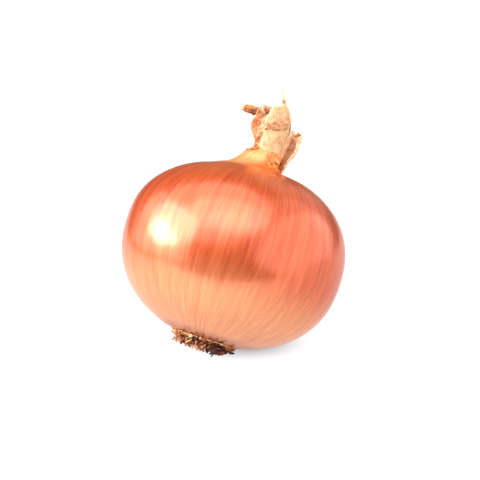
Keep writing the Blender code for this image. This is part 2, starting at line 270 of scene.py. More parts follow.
class Finish:
    """A material that is being made. Its node method adds any node: the settings first, then the
    sockets."""

    def __init__(self, name, **uniform):
        self.material = bpy.data.materials.new(name)
        self.material.use_nodes = True
        self.tree = self.material.node_tree
        self.shader = self.tree.nodes["Principled BSDF"]
        self.set(**uniform)

    def put(self, socket, value):
        if isinstance(value, Amount):
            self.tree.links.new(value.socket, socket)
        elif socket.type == "RGBA":
            socket.default_value = (*value, 1.0)
        else:
            socket.default_value = value

    def node(self, kind, settings, sockets, output=0):
        made = self.tree.nodes.new(kind)
        for setting, value in settings.items():
            setattr(made, setting, value)
        for socket, value in sockets.items():
            self.put(made.inputs[socket], value)
        return Amount(self, made.outputs[output])

    def field(self, name, output="Vector"):
        return self.node("ShaderNodeAttribute", {"attribute_name": name}, {}, output)

    def parts(self, vector):
        """The three components of a vector."""
        return [self.node("ShaderNodeSeparateXYZ", {}, {0: vector}, axis) for axis in range(3)]

    def noise(self, vector, stretch, detail=2.0, roughness=0.5):
        """Noise of 0 to 1 about 0.5 on the vector times stretch, whose parts are the features per
        unit."""
        place = self.node("ShaderNodeVectorMath", {"operation": "MULTIPLY"}, {0: vector, 1: stretch})
        sockets = {"Vector": place, "Scale": 1.0, "Detail": detail, "Roughness": roughness}
        return self.node("ShaderNodeTexNoise", {}, sockets)

    def blend(self, first, second, share, way="MIX"):
        """Mixes two colours by a share from 0 to 1."""
        settings = {"data_type": "RGBA", "blend_type": way}
        return self.node("ShaderNodeMix", settings, {0: share, 6: first, 7: second}, 2)

    def shaded(self, colour, shades, share, strength):
        """The colour times a mix of a dark and a light shade, as far as the strength says."""
        return self.blend(colour, self.blend(*shades, share), strength, "MULTIPLY")

    def bumps(self, height, distance, strength):
        """Shades the surface as if it stood out by the height, whose 1 is that many metres."""
        sockets = {"Height": height, "Distance": distance, "Strength": strength}
        self.set(Normal=self.node("ShaderNodeBump", {}, sockets))

    def set(self, **values):
        for socket, value in values.items():
            self.put(self.shader.inputs[socket.replace("_", " ")], value)


def skin_outline():
    """The skin's section as radius and height: along the pocket for the root plate, the base's
    superellipse, the shoulder's, a curve of degree two into the cone, the cone, over the rim's
    edge and down inside it."""
    pocket_radius = POCKET_RADIUS * np.array([0.4, 0.8, 1.0, 1.0])
    pocket_height = POCKET_FLOOR + np.array([0.0, 0.0, 0.0, -POCKET_LIP])
    base_start = math.acos(((POCKET_RADIUS + POCKET_EDGE) / BULB_RADIUS) ** (BASE_FULLNESS / 2))
    base = base_outline(np.linspace(base_start, 0.0, 80))
    power = 2.0 / SHOULDER_FULLNESS
    shoulder_end = math.acos((SHOULDER_END_RADIUS / BULB_RADIUS) ** (1.0 / power))
    turn = np.linspace(0.0, shoulder_end, 64)[1:]
    shoulder = BULB_RADIUS * np.cos(turn) ** power, SHOULDER_HEIGHT * np.sin(turn) ** power
    t = np.linspace(0.0, 1.0, 16)[1:]
    neck = [
        shoulder[way][-1] * (1 - t) ** 2 + NECK_CORNER[way] * 2 * t * (1 - t) + NECK_FOOT[way] * t**2
        for way in range(2)
    ]
    up = np.linspace(0.0, 1.0, 12)[1:]
    cone_radius = NECK_FOOT[0] + (RIM_RADIUS - NECK_FOOT[0]) * up
    cone_height = NECK_FOOT[1] + (RIM_HEIGHT - NECK_FOOT[1]) * up
    down = np.append(np.linspace(0.0, 1.0, 6), 1.0)
    inside_radius = RIM_RADIUS - SKIN_THICKNESS + 0.8 * MM * down
    inside_radius[-1] = 0.3 * RIM_RADIUS
    inside_height = RIM_HEIGHT - RIM_FOLD * down
    radii = (pocket_radius, base[0], shoulder[0], neck[0], cone_radius, inside_radius)
    heights = (pocket_height, base[1], shoulder[1], neck[1], cone_height, inside_height)
    return np.concatenate(radii), np.concatenate(heights)


def grown(points):
    """Moves a turned shape's points to the grown shape: shallow lobes round the bulb, shoulders
    that slant down to the left and rise half as much on the right, a cone that spreads to the
    left, and a neck that stands to the right of the axis."""
    x, y, z = np.moveaxis(points, -1, 0)
    radius = np.hypot(x, y)
    around = np.arctan2(y, x)
    lobes = sum(share * np.cos(count * around + phase) for count, share, phase in LOBES)
    on_cone = smoothstep(29 * MM, 32 * MM, z) * (1.0 - smoothstep(35 * MM, 38 * MM, z))
    swelling = 1.0 + lobes * smoothstep(5 * MM, 25 * MM, radius)
    swelling = swelling * (1.0 - NECK_SPREAD * np.cos(around) * on_cone)
    x = x * swelling
    y = y * swelling
    on_neck = smoothstep(30 * MM, 39 * MM, z)
    outwards = smoothstep(2 * MM, 20 * MM, radius) * (1.0 - on_neck)
    tilt = np.cos(around) - 0.125 * (1.0 + np.cos(around)) ** 2
    z = z + SHOULDER_SLANT * tilt * smoothstep(0.0, 24 * MM, z) * outwards
    z = z - RIM_SLANT * x / RIM_RADIUS * on_neck
    x = x + NECK_SHIFT * on_neck * np.clip((z - 30 * MM) / (RIM_HEIGHT - 30 * MM), 0.0, 1.0)
    return np.stack([x, y, z], axis=-1)


def skin_relief(place, height):
    """How far the skin stands out, in metres: broad dents, low ribs over the leaf's veins, folds
    that deepen up the cone and puckers round the root plate. Each is a random field or a sum of
    sines round the bulb, faded along it."""
    around = np.arctan2(place[..., 1], place[..., 0])
    slow = place * np.array([1.0, 1.0, 0.4])
    wander = unevenness(slow, 1.1, 5)
    dents = sum(unevenness(slow, width, seed) * depth for width, seed, depth in DENTS)
    ribs = np.cos(SKIN_VEINS * 2 * around + 2.2 * wander) * RIB_DEPTH
    folds = np.sin(13 * around + 2.5 * wander) + 0.6 * np.sin(21 * around - 3.0 * wander)
    up_cone = smoothstep(30 * MM, 35 * MM, height)
    near_root = 1.0 - smoothstep(-33 * MM, -29 * MM, height)
    puckers = np.sin(19 * around + 2.0 * wander) + 0.7 * np.sin(31 * around + 3.0 * wander)
    above = folds * CONE_FOLD_DEPTH * up_cone
    return (dents + ribs) * (1.0 - up_cone) + above + puckers * PUCKER_DEPTH * near_root


def skin_mesh():
    """The section carried round the axis with a torn rim, grown, given its relief along its
    normals, laid down and held up to the surface where it rests. Returns the grid and every
    point's place on the skin: the cosine and sine of its azimuth and its distance along the
    section from the widest level, in bulb radii."""
    radius, height = skin_outline()
    widest = np.argmax(radius)
    row = np.arange(len(radius))
    around = np.linspace(0.0, 2 * math.pi, SKIN_COLUMNS, endpoint=False)
    circle = np.stack([np.cos(around), np.sin(around), 0 * around], axis=-1)
    tear = unevenness(circle, 0.8, 21) * 0.6 + unevenness(circle, 0.22, 22) * 0.4
    torn = smoothstep(NECK_FOOT[1], RIM_HEIGHT, height) * (row > widest)
    grid = radius[:, None, None] * circle
    grid[..., 2] = height[:, None] + RIM_TEAR * torn[:, None] * tear
    level = np.cumsum(np.hypot(np.gradient(radius), np.gradient(height))) / BULB_RADIUS
    place = np.broadcast_to(circle, grid.shape).copy()
    place[..., 2] = (level - level[widest])[:, None]
    hidden = (row < POCKET_ROWS) | (row > np.argmax(height) - 2)
    relief = skin_relief(place, grid[..., 2]) * ~hidden[:, None]
    grid = grown(grid)
    normals = surface_normals(grid, True)
    outward = np.sign((normals[widest] * grid[widest]).sum())
    grid = lie_down(grid + normals * outward * relief[..., None])
    grid[..., 2] = np.maximum(grid[..., 2], 0.0)
    return grid, place


def copper_finish():
    """Streaks along the skin from noise that is stretched from root to neck, thin veins where a sine
    round the bulb crosses zero, and colours that change along it: a lighter tan over the lower half,
    partly the skin's own paler base and partly painted reflection of the floor, darker brown round
    the root plate, partly its own colour and partly painted shade, deep red on the shoulder, gold on
    the cone. Up the cone the glossy coat thins and the skin turns dull."""
    finish = Finish("copper_skin", IOR=1.45, Metallic=0.5, Specular_Tint=SHEEN_COPPER)
    finish.set(Coat_Roughness=0.20, Coat_IOR=1.75)
    place = finish.field("skin")
    cosine, sine, level = finish.parts(place)
    around = sine.math("ARCTAN2", cosine)
    fine = finish.noise(place, FINE_STREAKS, 3.0, 0.62)
    hair = finish.noise(place, HAIRLINES, 2.0)
    broad = finish.noise(place, BROAD_STREAKS, 3.0)
    patch = finish.noise(place, SKIN_PATCHES, 3.0)
    soft = finish.noise(place, SOFT_STREAKS, 2.0)
    streak = (soft * 0.5 + broad * 0.2 + fine * 0.3).rise(0.27, 0.73)
    wander = finish.noise(place, VEIN_WANDER, 1.0)
    vein_wave = abs((around * SKIN_VEINS + wander * 3.0).math("SINE"))
    vein_there = finish.noise(place, VEIN_STRETCHES, 1.0).rise(0.42, 0.56)
    veins = vein_wave.rise(0.11, 0.0) * vein_there * level.rise(*VEINS_FROM)
    colour = finish.blend(DEEP_COPPER, BRIGHT_COPPER, streak)
    shoulder = level.rise(*SHOULDER_FROM) * 0.7 * patch.rise(0.30, 0.62)
    colour = finish.blend(colour, SHOULDER_RED, shoulder)
    # Painted reflection of the floor, mixed with the skin's own paler base, over the lower half.
    colour = finish.blend(colour, TAN_AND_PAINTED_FLOOR_LIGHT, level.rise(*TAN_AND_FLOOR_LIGHT_FROM) * (streak * 0.35 + 0.60))
    # Darker brown round the root plate, partly painted shade.
    colour = finish.blend(colour, ROOT_TAN_AND_SHADE, level.rise(*ROOT_SHADE_FROM) * 0.7)
    colour = finish.blend(colour, CONE_ORANGE, level.rise(*CONE_FROM) * 0.85)
    gold = (level - cosine * 0.32).rise(*GOLD_FROM) * (fine * 0.5 + broad * 0.5).rise(0.15, 0.55)
    colour = finish.blend(colour, CONE_GOLD, gold)
    colour = finish.blend(colour, VEIN_BROWN, veins * 0.7)
    dull = level.rise(*DULL_FROM)
    finish.set(Base_Color=finish.shaded(colour, SKIN_SHADES, hair.rise(0.25, 0.75), 0.65))
    finish.set(Roughness=fine * 0.10 + 0.24 + dull * 0.16, Coat_Weight=0.42 - dull * 0.34)
    finish.bumps(fine * 0.5 + hair * 0.4 - veins * 0.6, 0.06 * MM, 0.35)
    return finish.material


skin_grid, skin_place = skin_mesh()
skin_places = np.vstack([skin_place.reshape(-1, 3), skin_place[0, 0], skin_place[-1, 0]])
bulb_skin = closed_piece("bulb_skin", skin_grid, copper_finish(), {"skin": skin_places})
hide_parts("bulb")

# The front leaf
# The broadest of the dried leaf ends that stand on the neck: pale papery straw, cupped round the
# bundle, creased across at half its height and blown out above the crease. It grew out of the cone
# and was torn off at its top.

# Each row of a leaf is a point on its middle line: x, y, z, then half its width across the curve,
# all in millimetres, the half angle that it is cupped by, and the way its outer face looks, as an
# azimuth from +X towards +Y and an elevation, in degrees. Where a leaf is made, the rows are
# followed by its seed, its crinkles in millimetres and the share of its length torn off the tip.
FRONT_LEAF = (
    (1.5, -5.7, 35.0, 6.0, 64, 270, 20),
    (1.7, -5.3, 39.2, 5.4, 54, 273, 4),
    (1.7, -5.0, 43.0, 5.4, 48, 276, 2),
    (1.8, -4.8, 46.0, 5.3, 44, 276, 10),
    (1.2, -5.8, 48.8, 5.4, 40, 277, 8),
    (0.6, -5.6, 52.0, 4.5, 38, 274, 20),
    (-0.6, -4.2, 55.6, 2.2, 36, 262, 48),
)
FRONT_CREASE = (0.49, 0.28, 0.022, 0.05)  # share of the height, depth in mm, width, slope
LEAF_THICKNESS = 0.22 * MM
LEAF_STEPS = 110
LEAF_STRIPS = 64
TORN_SIDES = 0.12
PLEAT_DEPTH = 0.05
SOFT_CRINKLE = 4.5
SHARP_CRINKLE = 3.2
FINE_CRINKLE = 1.3

CREAM = (0.53, 0.31, 0.165)
PALE_STRAW = (0.47, 0.25, 0.11)
WARM_TAN = (0.42, 0.18, 0.07)
RUSSET = (0.40, 0.13, 0.04)
# Dark russet serves both the real stains and painted shade in hollows and on undersides.
STAIN_AND_SHADE_RUSSET = (0.14, 0.032, 0.010)
RIM_CREAM = (0.84, 0.62, 0.40)
LEAF_SHADES = ((0.78, 0.74, 0.70), (1.1, 1.1, 1.1))

# Features of each noise per millimetre, across the leaf and along it.
LEAF_FIBRES = (2.2, 0.22, 1.0)
LEAF_GRAIN = (7.0, 1.6, 1.0)
LEAF_BLOTCHES = (0.35, 0.25, 1.0)
LEAF_STAINS = (0.38, 0.30, 1.0)
LEAF_WRINKLES = (0.30, 0.24, 1.0)


def along(rows, place):
    """Values on a smooth curve through the rows of a table (Catmull-Rom), at places counted in
    rows."""
    values = np.array(rows, float)
    padded = np.vstack([2 * values[0] - values[1], values, 2 * values[-1] - values[-2]])
    first = np.clip(place.astype(int), 0, len(values) - 2)
    t = (place - first)[..., None]
    before, start, end, after = (padded[first + later] for later in range(4))
    bend = 2 * before - 5 * start + 4 * end - after
    twist = 3 * start - before - 3 * end + after
    return 0.5 * (2 * start + (end - before) * t + bend * t**2 + twist * t**3)


def facing(azimuth, elevation):
    """The unit vectors that look that way, with both angles in degrees."""
    azimuth = np.radians(azimuth)
    elevation = np.radians(elevation)
    level = np.cos(elevation)
    return np.stack([np.cos(azimuth) * level, np.sin(azimuth) * level, np.sin(elevation)], axis=-1)


def unit(vectors):
    return vectors / np.linalg.norm(vectors, axis=-1)[..., None]


def leaf_sheet(rows, seed, crinkle, torn_tip, crease):
    """A leaf's middle sheet in millimetres. Each section across is an arc about the middle line
    that bends away from the outer face: middle + across sin(turn) half/cup + outer (cos(turn) - 1)
    half/cup. The tip and the sides are worn back by random fields along them, and crinkles, pleats
    and a crease push the sheet out and in. Returns the sheet, the place on the leaf, how near the
    rim each point is and how far it is pushed out."""
    table = np.array(rows, float)
    side = np.linspace(-1.0, 1.0, LEAF_STRIPS + 1)[None, :]
    share = np.linspace(0.0, 1.0, LEAF_STEPS + 1)[:, None]
    nothing = 0 * side * share
    at_tip = np.stack([4 * side + nothing, nothing, nothing + seed], axis=-1)[0]
    worn = 0.5 + 0.35 * unevenness(at_tip, 3.0, seed) + 0.25 * unevenness(at_tip, 0.9, seed + 1)
    share = share * (1.0 - torn_tip * worn[None, :])
    rows_up = share * (len(rows) - 1)
    values = along(table[:, :5], rows_up)
    middle = values[..., :3]
    half = values[..., 3]
    cup = np.radians(np.maximum(values[..., 4], 3.0))
    tangent = unit(along(table[:, :3], rows_up + 0.02) - along(table[:, :3], rows_up - 0.02))
    outer = along(facing(table[:, 5], table[:, 6]), rows_up)
    outer = unit(outer - (outer * tangent).sum(-1)[..., None] * tangent)
    across = np.cross(tangent, outer)
    length = np.linalg.norm(np.diff(table[:, :3], axis=0), axis=1).sum() * share
    at_side = np.stack([3 * np.sign(side) + nothing, length, nothing + seed], axis=-1)
    wear = 0.6 * unevenness(at_side, 5.0, seed + 2) + 0.4 * unevenness(at_side, 1.4, seed + 3)
    half = half * (1.0 - TORN_SIDES * (0.5 + 0.5 * wear) * np.abs(side) ** 3)
    turn = side * cup
    sheet = middle + across * (np.sin(turn) * half / cup)[..., None]
    sheet += outer * ((np.cos(turn) - 1.0) * half / cup)[..., None]
    place = np.stack([side * half, length, nothing + seed], axis=-1)
    drawn_out = place * np.array([1.0, 0.6, 1.0])
    soft = unevenness(place, SOFT_CRINKLE, seed + 4)
    sharp = 1.0 - 2.0 * np.abs(unevenness(place, SHARP_CRINKLE, seed + 5))
    fine = 1.0 - 2.0 * np.abs(unevenness(drawn_out, FINE_CRINKLE, seed + 6))
    pleats = np.cos(7.5 * side * half + 2.0 * unevenness(place, 6.0, seed + 7)) * PLEAT_DEPTH
    crinkles = crinkle * (0.9 * soft + 0.6 * sharp + 0.28 * fine)
    out = crinkles * smoothstep(0.05, 0.35, share) + pleats
    if crease is not None:
        level, depth, width, slope = crease
        out = out - depth * np.exp(-(((share - level - slope * side) / width) ** 2))
    rim = np.maximum(np.abs(side) ** 4, smoothstep(0.9, 1.0, share / share[-1:]))
    return sheet + outer * out[..., None], place, rim, out


def shell_faces(rows, columns):
    """The corners of a body made of a sheet's outer face and, in mirrored order beside it, its
    inner face: the wrapped grid of both, and strips along its first and last row that join them."""
    first = np.arange(columns - 1)
    mirror = 2 * columns - 1 - first
    low = np.stack([first + 1, first, mirror, mirror - 1], axis=1)
    high = low[:, ::-1] + (rows - 1) * 2 * columns
    return np.vstack([grid_faces(rows, 2 * columns), low, high])


def mirrored(outer, inner):
    """Values on the outer face beside those on the inner face in mirrored order."""
    return np.concatenate([outer, inner[:, ::-1]], axis=1)


def leaf_piece(name, finish, rows, seed, crinkle, torn_tip, crease=None):
    """The solid leaf: half the thickness to each side of its sheet along the normals, and less at
    the rim. The attributes keep each point's place in millimetres, its rim, its push and its
    face."""
    sheet, place, rim, out = leaf_sheet(rows, seed, crinkle, torn_tip, crease)
    normals = surface_normals(sheet, False)
    push = normals * (LEAF_THICKNESS / MM * (0.5 - 0.3 * rim))[..., None]
    points = mirrored(sheet + push, sheet - push) * MM
    fields = {
        "leaf": mirrored(place, place).reshape(-1, 3),
        "rim": mirrored(rim, rim).ravel(),
        "push": mirrored(out, out).ravel(),
        "face": mirrored(0 * rim, 0 * rim + 1.0).ravel(),
    }
    blocks = [shell_faces(*sheet.shape[:2])]
    return add_piece(name, lie_down(points.reshape(-1, 3)), blocks, finish, fields)


def leaf_finish(
    name, outside, streak, inside, foot, stains=0.3, foot_length=4.0, painted_shade_side=0.0, pale_from=90.0
):
    """Dried leaf: two colours streaked by noise that is stretched along the leaf, the streaks' colour
    again as painted shade where the sheet is pushed in, another colour in blotches on the face that
    curls inwards (on the beak and the curl a dark one, painted shade in the hollow), a pale rim and a
    foot in a colour of the cone. It has dark stains and fine wrinkles with painted shade in their
    grooves, may have painted shade towards one side, and turns pale beyond a distance in millimetres
    from its foot."""
    finish = Finish(name, Roughness=0.62, IOR=1.45, Subsurface_Weight=0.45, Subsurface_Scale=0.7 * MM)
    place = finish.field("leaf")
    push = finish.field("push", "Fac")
    rim = finish.field("rim", "Fac")
    face = finish.field("face", "Fac")
    across, length = finish.parts(place)[:2]
    fibre = finish.noise(place, LEAF_FIBRES, 2.0, 0.5)
    blotch = finish.noise(place, LEAF_BLOTCHES, 2.0)
    grain = finish.noise(place, LEAF_GRAIN, 2.0)
    wrinkle = abs(finish.noise(place, LEAF_WRINKLES, 2.0) - 0.5).rise(0.022, 0.0)
    stain = finish.noise(place, LEAF_STAINS, 2.0, 0.5).rise(0.50, 0.68)
    colour = finish.blend(outside, streak, (fibre * 0.6 + blotch * 0.4).rise(0.36, 0.66))
    colour = finish.blend(colour, inside, face * blotch.rise(0.70, 0.45) * 0.9)
    colour = finish.blend(colour, STAIN_AND_SHADE_RUSSET, stain * stains)
    # Painted shade: darker towards one side across the leaf.
    colour = finish.blend(colour, STAIN_AND_SHADE_RUSSET, (across * -0.4).rise(-0.22, 0.38) * painted_shade_side)
    colour = finish.blend(colour, foot, length.rise(foot_length, 0.3 * foot_length) * 0.85)
    # Painted shade: the streaks' colour where the sheet is pushed in, in its creases and hollows.
    colour = finish.blend(colour, streak, push.rise(0.05, -0.28) * 0.5)
    colour = finish.blend(colour, RIM_CREAM, rim.rise(0.45, 0.95) * 0.75)
    colour = finish.blend(colour, RIM_CREAM, length.rise(pale_from, pale_from + 3.0))
    # Painted shade: dark lines along the wrinkles' grooves.
    colour = finish.blend(colour, RUSSET, wrinkle * 0.45)
    finish.set(Base_Color=finish.shaded(colour, LEAF_SHADES, grain.rise(0.25, 0.75), 0.35))
    finish.bumps(fibre * 0.35 + grain * 0.06 - wrinkle * 0.7, 0.35 * MM, 0.5)
    return finish.material


front_straw = leaf_finish("front_straw", CREAM, PALE_STRAW, WARM_TAN, CONE_GOLD, stains=0.15)
front_leaf = leaf_piece("front_leaf_paper", front_straw, FRONT_LEAF, 31, 0.22, 0.03, FRONT_CREASE)
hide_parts("front_leaf")

# The left leaf
# A cupped, pinkish papery leaf end on the left with a pale rim. It grew out of the cone and leans
# away from the bundle, so that a dark slit is left open at its foot.

LEFT_LEAF = (
    (-3.8, -0.8, 35.2, 1.2, 40, 100, 10),
    (-3.9, -1.0, 39.0, 1.2, 44, 95, -5),
    (-3.9, -0.8, 41.4, 2.3, 50, 88, -20),
    (-4.8, -0.5, 43.8, 3.3, 62, 78, -14),
    (-4.9, -0.4, 46.4, 4.0, 66, 76, 2),
    (-4.6, -0.4, 48.8, 3.6, 60, 80, -2),
    (-4.7, -0.6, 53.1, 3.0, 62, 84, 24),
)
PINK_TAN = (0.66, 0.32, 0.16)

left_russet = leaf_finish("left_russet", CREAM, PINK_TAN, PINK_TAN, CONE_GOLD, stains=0.2)
left_leaf = leaf_piece("left_leaf_paper", left_russet, LEFT_LEAF, 47, 0.42, 0.02)
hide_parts("left_leaf")

# The beak leaf
# A golden-brown dried leaf end at the back left. It grew out of the cone and curls over to the left
# in a hollow horn with a worn, pale tip.

BEAK_LEAF = (
    (-1.2, 3.6, 34.6, 2.2, 25, 121, 10),
    (-1.6, 4.2, 41.0, 2.5, 28, 121, 0),
    (-2.2, 3.8, 46.5, 2.6, 32, 122, 20),
    (-4.0, 2.6, 50.6, 2.6, 50, 150, 60),
    (-6.4, 0.9, 52.0, 3.2, 70, 240, 62),
    (-9.0, 0.1, 51.5, 3.0, 74, 268, 30),
    (-11.6, -0.2, 50.9, 1.9, 60, 270, 28),
    (-14.9, -0.2, 50.0, 0.3, 15, 270, 25),
)
GOLDEN_BROWN = (0.54, 0.20, 0.030)
BURNT_GOLD = (0.42, 0.13, 0.019)
# The beak's inner face gets the dark third colour and its underside is darkened: painted shade in the
# hollow horn.
BEAK_COLOURS = (GOLDEN_BROWN, BURNT_GOLD, STAIN_AND_SHADE_RUSSET, CONE_GOLD)

beak_brown = leaf_finish("beak_brown", *BEAK_COLOURS, stains=0.2, painted_shade_side=1.0, pale_from=24.8)
beak_leaf = leaf_piece("beak_leaf_paper", beak_brown, BEAK_LEAF, 59, 0.24, 0.02)
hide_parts("beak_leaf")

# The back leaf
# A straw-coloured dried leaf end at the back right, grown out of the cone. Its top has worn away
# to one pale thread, the highest thing on the onion.

BACK_LEAF = (
    (3.6, 3.3, 34.6, 2.6, 28, 52, 10),
    (5.0, 3.6, 41.0, 3.6, 44, 40, 0),
    (5.6, 2.4, 47.0, 3.9, 54, 34, 4),
    (4.2, 2.0, 52.0, 3.2, 50, 36, 16),
    (1.6, 1.7, 55.8, 1.3, 24, 60, 20),
    (0.2, 1.4, 58.6, 0.55, 12, 100, 10),
    (-1.1, 1.0, 61.9, 0.45, 8, 80, 10),
)

back_straw = leaf_finish("back_straw", WARM_TAN, PALE_STRAW, WARM_TAN, CONE_GOLD, pale_from=22.0)
back_leaf = leaf_piece("back_leaf_paper", back_straw, BACK_LEAF, 67, 0.18, 0.01)
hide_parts("back_leaf")

# The right leaf
# A dried leaf end on the right that has rolled up lengthwise, with its hollow inside turned to the
# front. It grew lower than the others, so its foot lies on the cone.

RIGHT_LEAF = (
    (7.5, 0.4, 31.8, 2.1, 60, 30, 20),
    (8.2, 0.6, 34.5, 2.9, 75, 34, -10),
    (9.2, 0.9, 38.0, 3.7, 88, 38, -14),
    (10.1, 1.2, 41.5, 4.4, 96, 40, -8),
    (10.3, 1.2, 44.5, 4.4, 98, 40, 2),
    (10.0, 1.1, 46.8, 3.9, 90, 40, 10),
    (9.6, 0.9, 48.6, 2.4, 62, 40, 20),
)
RIGHT_COLOURS = (RIM_CREAM, PINK_TAN, PINK_TAN, BURNT_GOLD)

right_russet = leaf_finish("right_russet", *RIGHT_COLOURS, stains=0.15, foot_length=6.0)
right_leaf = leaf_piece("right_leaf_paper", right_russet, RIGHT_LEAF, 73, 0.34, 0.12)
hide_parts("right_leaf")

# The right strip
# A narrow shred of the same papery straw as the front leaf. It split off beside it and stands
# between the front leaf and the right one.

RIGHT_STRIP = (
    (5.6, -3.6, 36.4, 0.8, 40, 300, 10),
    (6.2, -3.2, 40.0, 1.1, 44, 300, 0),
    (6.7, -2.6, 44.0, 1.2, 44, 300, 0),
    (7.3, -2.0, 48.6, 0.8, 40, 300, 10),
)

right_strip = leaf_piece("right_strip_paper", front_straw, RIGHT_STRIP, 79, 0.1, 0.05)

# The inner leaves
# The innermost leaf ends, collapsed round each other into one papery stalk inside the neck and
# folded lengthwise as they dried. They show between the outer leaves.

# The stalk's radius at each height, both in millimetres. It stands off the axis to the right, and
# its pattern is laid out on a cylinder of one radius.
STALK_RADII = (3.2, 3.3, 3.4, 3.0, 2.7, 1.9, 0.8, 0.1)
STALK_HEIGHTS = (34.0, 38.0, 41.0, 45.0, 48.5, 51.0, 52.2, 52.5)
STALK_SHIFT = 1.4
STALK_PATTERN_RADIUS = 3.0
STALK_FOLDS = 5
STALK_FOLD_DEPTH = 0.16
STALK_CREASES = 13
STALK_CREASE_DEPTH = 0.06
STALK_TWIST = math.radians(2.5)  # per millimetre of height
STALK_COLUMNS = 120
STALK_STEPS = 90


def stalk_grid():
    """The outline carried round the stalk's axis, in millimetres, with the radius folded by
    cosines of an angle that twists with the height, and roughened by a random field."""
    outline = np.column_stack([STALK_RADII, STALK_HEIGHTS])
    line = along(outline, np.linspace(0.0, len(outline) - 1.0, STALK_STEPS))
    radius, z = line[:, :1], line[:, 1:]
    around = np.linspace(0.0, 2 * math.pi, STALK_COLUMNS, endpoint=False)[None, :]
    twisted = around + STALK_TWIST * (z - z[0])
    folds = np.cos(STALK_FOLDS * twisted) * STALK_FOLD_DEPTH
    folds = folds + STALK_CREASE_DEPTH * np.cos(STALK_CREASES * twisted + 1.0)
    z = z + 0 * around
    pattern_x = STALK_PATTERN_RADIUS * np.cos(around) + 0 * z
    pattern_y = STALK_PATTERN_RADIUS * np.sin(around) + 0 * z
    pattern = np.stack([pattern_x, pattern_y, z], axis=-1)
    radius = radius * (1.0 + folds + 0.06 * unevenness(pattern, 2.5, 83))
    x = radius * np.cos(around) + STALK_SHIFT
    return np.stack([x, radius * np.sin(around), z], axis=-1), pattern, folds


stalk, stalk_place, stalk_folds = stalk_grid()
stalk_fields = {
    "leaf": np.vstack([stalk_place.reshape(-1, 3), stalk_place[0, 0], stalk_place[-1, 0]]),
    # The folds also give painted shade where they are pushed in.
    "push": np.append(stalk_folds.ravel(), [0.0, 0.0]),
}
stalk_straw = leaf_finish("stalk_straw", PINK_TAN, WARM_TAN, WARM_TAN, WARM_TAN)
stalk_laid = lie_down(stalk * MM)
inner_leaves = closed_piece("inner_leaves_paper", stalk_laid, stalk_straw, stalk_fields)
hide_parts("inner_leaves")

# The inner curl
# The end of one of the inner leaves, dry and brown. It stands out behind the left leaf and curls
# over to the left under the beak.

INNER_CURL = (
    (-1.6, 0.6, 44.0, 2.6, 50, 180, 10),
    (-1.6, 0.5, 48.0, 2.8, 56, 180, 20),
    (-1.0, 0.2, 52.0, 3.0, 66, 200, 60),
    (-2.4, -0.8, 53.2, 3.2, 78, 265, 54),
    (-4.6, -1.6, 52.9, 3.0, 80, 268, 34),
    (-6.4, -2.0, 51.8, 1.8, 50, 268, 28),
)
# The curl's inner face gets the dark third colour and one side is darkened: painted shade in its
# hollow.
CURL_COLOURS = (PINK_TAN, RUSSET, STAIN_AND_SHADE_RUSSET, CONE_GOLD)

curl_brown = leaf_finish("curl_brown", *CURL_COLOURS, stains=0.4, painted_shade_side=0.75)
inner_curl = leaf_piece("inner_curl_paper", curl_brown, INNER_CURL, 89, 0.12, 0.06)

# The torn scraps
# Shreds of older skins that cling to the foot of the neck, most of them at the front right: thin,
# brittle, deep orange to dark brown, with curled edges.

# Each scrap: the azimuth in degrees and the height in millimetres of its middle, half its width in
# degrees, half its height and how far its edges stand off, both in millimetres.
SCRAPS = (
    (290, 34.2, 13, 1.5, 0.14),
    (310, 33.6, 13, 1.6, 0.18),
    (330, 32.6, 13, 1.6, 0.18),
    (300, 36.2, 11, 1.5, 0.20),
    (319, 35.6, 11, 1.6, 0.22),
    (336, 34.8, 12, 1.6, 0.22),
    (282, 36.6, 9, 1.1, 0.16),
    (350, 33.4, 12, 1.6, 0.20),
    (300, 32.6, 11, 0.8, 0.10),
    (322, 31.9, 12, 0.8, 0.10),
    (20, 34.0, 24, 2.4, 0.30),
    (62, 35.6, 20, 2.0, 0.25),
    (110, 34.8, 22, 1.8, 0.25),
    (160, 36.6, 18, 1.4, 0.25),
    (205, 37.0, 15, 1.0, 0.20),
)
SCRAP_STEPS = 26
SCRAP_HALF_THICKNESS = 0.07
SCRAP_MOTTLE = (1.0, 0.7, 3.7)
SCRAP_GRAIN = (6.0, 2.0, 3.0)
BURNT_ORANGE = (0.78, 0.19, 0.026)
DARK_BROWN = (0.22, 0.028, 0.006)


def scrap_shell(surface, centre, half, lift, seed):
    """A scrap on a surface that is a function of two places and a lift from it. Over s and t from
    -1 to 1 its half width narrows to rounded, ragged ends, (1 - t^4)^0.5 times a random field about
    1, and its edges curl up with s^2 and t^2."""
    s = np.linspace(-1.0, 1.0, SCRAP_STEPS)[None, :]
    t = np.linspace(-1.0, 1.0, SCRAP_STEPS)[:, None]
    nothing = 0 * s * t
    ends = np.stack([nothing + t, np.sign(s) + nothing, nothing + seed], axis=-1)
    ragged = 1.0 + 0.35 * unevenness(ends, 0.9, seed) + 0.2 * unevenness(ends, 0.3, seed + 1)
    width = np.sqrt(1.0 - 0.96 * t**4) * ragged
    sides = np.stack([nothing + s, np.sign(t) + nothing, nothing + seed], axis=-1)
    reach = 1.0 + 0.3 * unevenness(sides, 0.7, seed + 2)
    place = np.stack([s * width, t * reach, nothing + seed], axis=-1)
    wave = unevenness(place, 1.2, seed + 3)
    height = lift * (0.5 + 0.5 * s**2 * (1.0 + wave) + 0.5 * np.maximum(t, 0.0) ** 2)
    first = centre[0] + half[0] * place[..., 0]
    second = centre[1] + half[1] * place[..., 1]
    outer = surface(first, second, (height + SCRAP_HALF_THICKNESS) * MM)
    inner = surface(first, second, (height - SCRAP_HALF_THICKNESS) * MM)
    return mirrored(outer, inner).reshape(-1, 3), mirrored(place, place).reshape(-1, 3)


